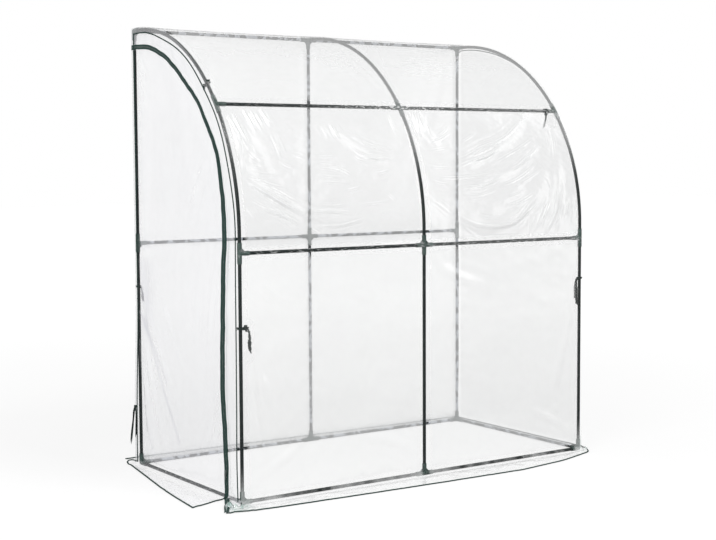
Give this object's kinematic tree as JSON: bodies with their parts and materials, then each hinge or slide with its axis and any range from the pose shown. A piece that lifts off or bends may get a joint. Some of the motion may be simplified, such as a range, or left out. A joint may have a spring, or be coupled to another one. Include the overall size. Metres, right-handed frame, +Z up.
{
  "type": "lean-to walk-in greenhouse",
  "caption": "Walk-in lean-to greenhouse: dark green tube frame with a quarter-round roof, moulded connectors and a clear film cover with a zip door in one end and ground skirts.",
  "frame": {"origin": "on the ground, under the middle rib and halfway between the front and rear tubes", "axes": "+X along the wall towards the plain end, +Y towards the wall behind, +Z up"},
  "size_m": [2.2713, 1.357, 2.1328],
  "materials": {
    "tube": "satin dark green coating on steel tube",
    "connector": "moulded, fine satin",
    "film": "clear glossy PVC film, slightly milky",
    "zip_tape": "woven zip tape with a plastic coil",
    "zip_slider": "satin",
    "binding": "woven edge binding",
    "tie": "woven ribbon"
  },
  "bodies": {
    "root": {"rear_left_post": "tube", "rear_middle_post": "tube", "rear_right_post": "tube", "front_left_post": "tube", "front_middle_post": "tube", "front_right_post": "tube", "left_roof_bow": "tube", "middle_roof_bow": "tube", "right_roof_bow": "tube", "front_ground_rail": "tube", "rear_ground_rail": "tube", "eaves_rail": "tube", "rear_middle_rail": "tube", "roof_purlin": "tube", "ridge_rail": "tube", "left_ground_rail": "tube", "right_ground_rail": "tube", "corner_connectors": "connector", "ground_tees": "connector", "eaves_connectors": "connector", "rear_middle_connectors": "connector", "ridge_connectors": "connector", "purlin_connectors": "connector", "front_wall_film": "film", "roof_film": "film", "rear_wall_film": "film", "right_end_film": "film", "left_border_film": "film", "door_film": "film", "ground_skirt": "film", "door_skirt": "film", "door_zip": "zip_tape", "zip_slider": "zip_slider", "left_seam_binding": "binding", "right_seam_binding": "binding", "skirt_binding": "binding", "front_left_tie": "tie", "front_right_tie": "tie", "purlin_tie": "tie", "left_bow_tie": "tie", "rear_left_upper_tie": "tie", "rear_left_lower_tie": "tie"}
  },
  "joints": []
}
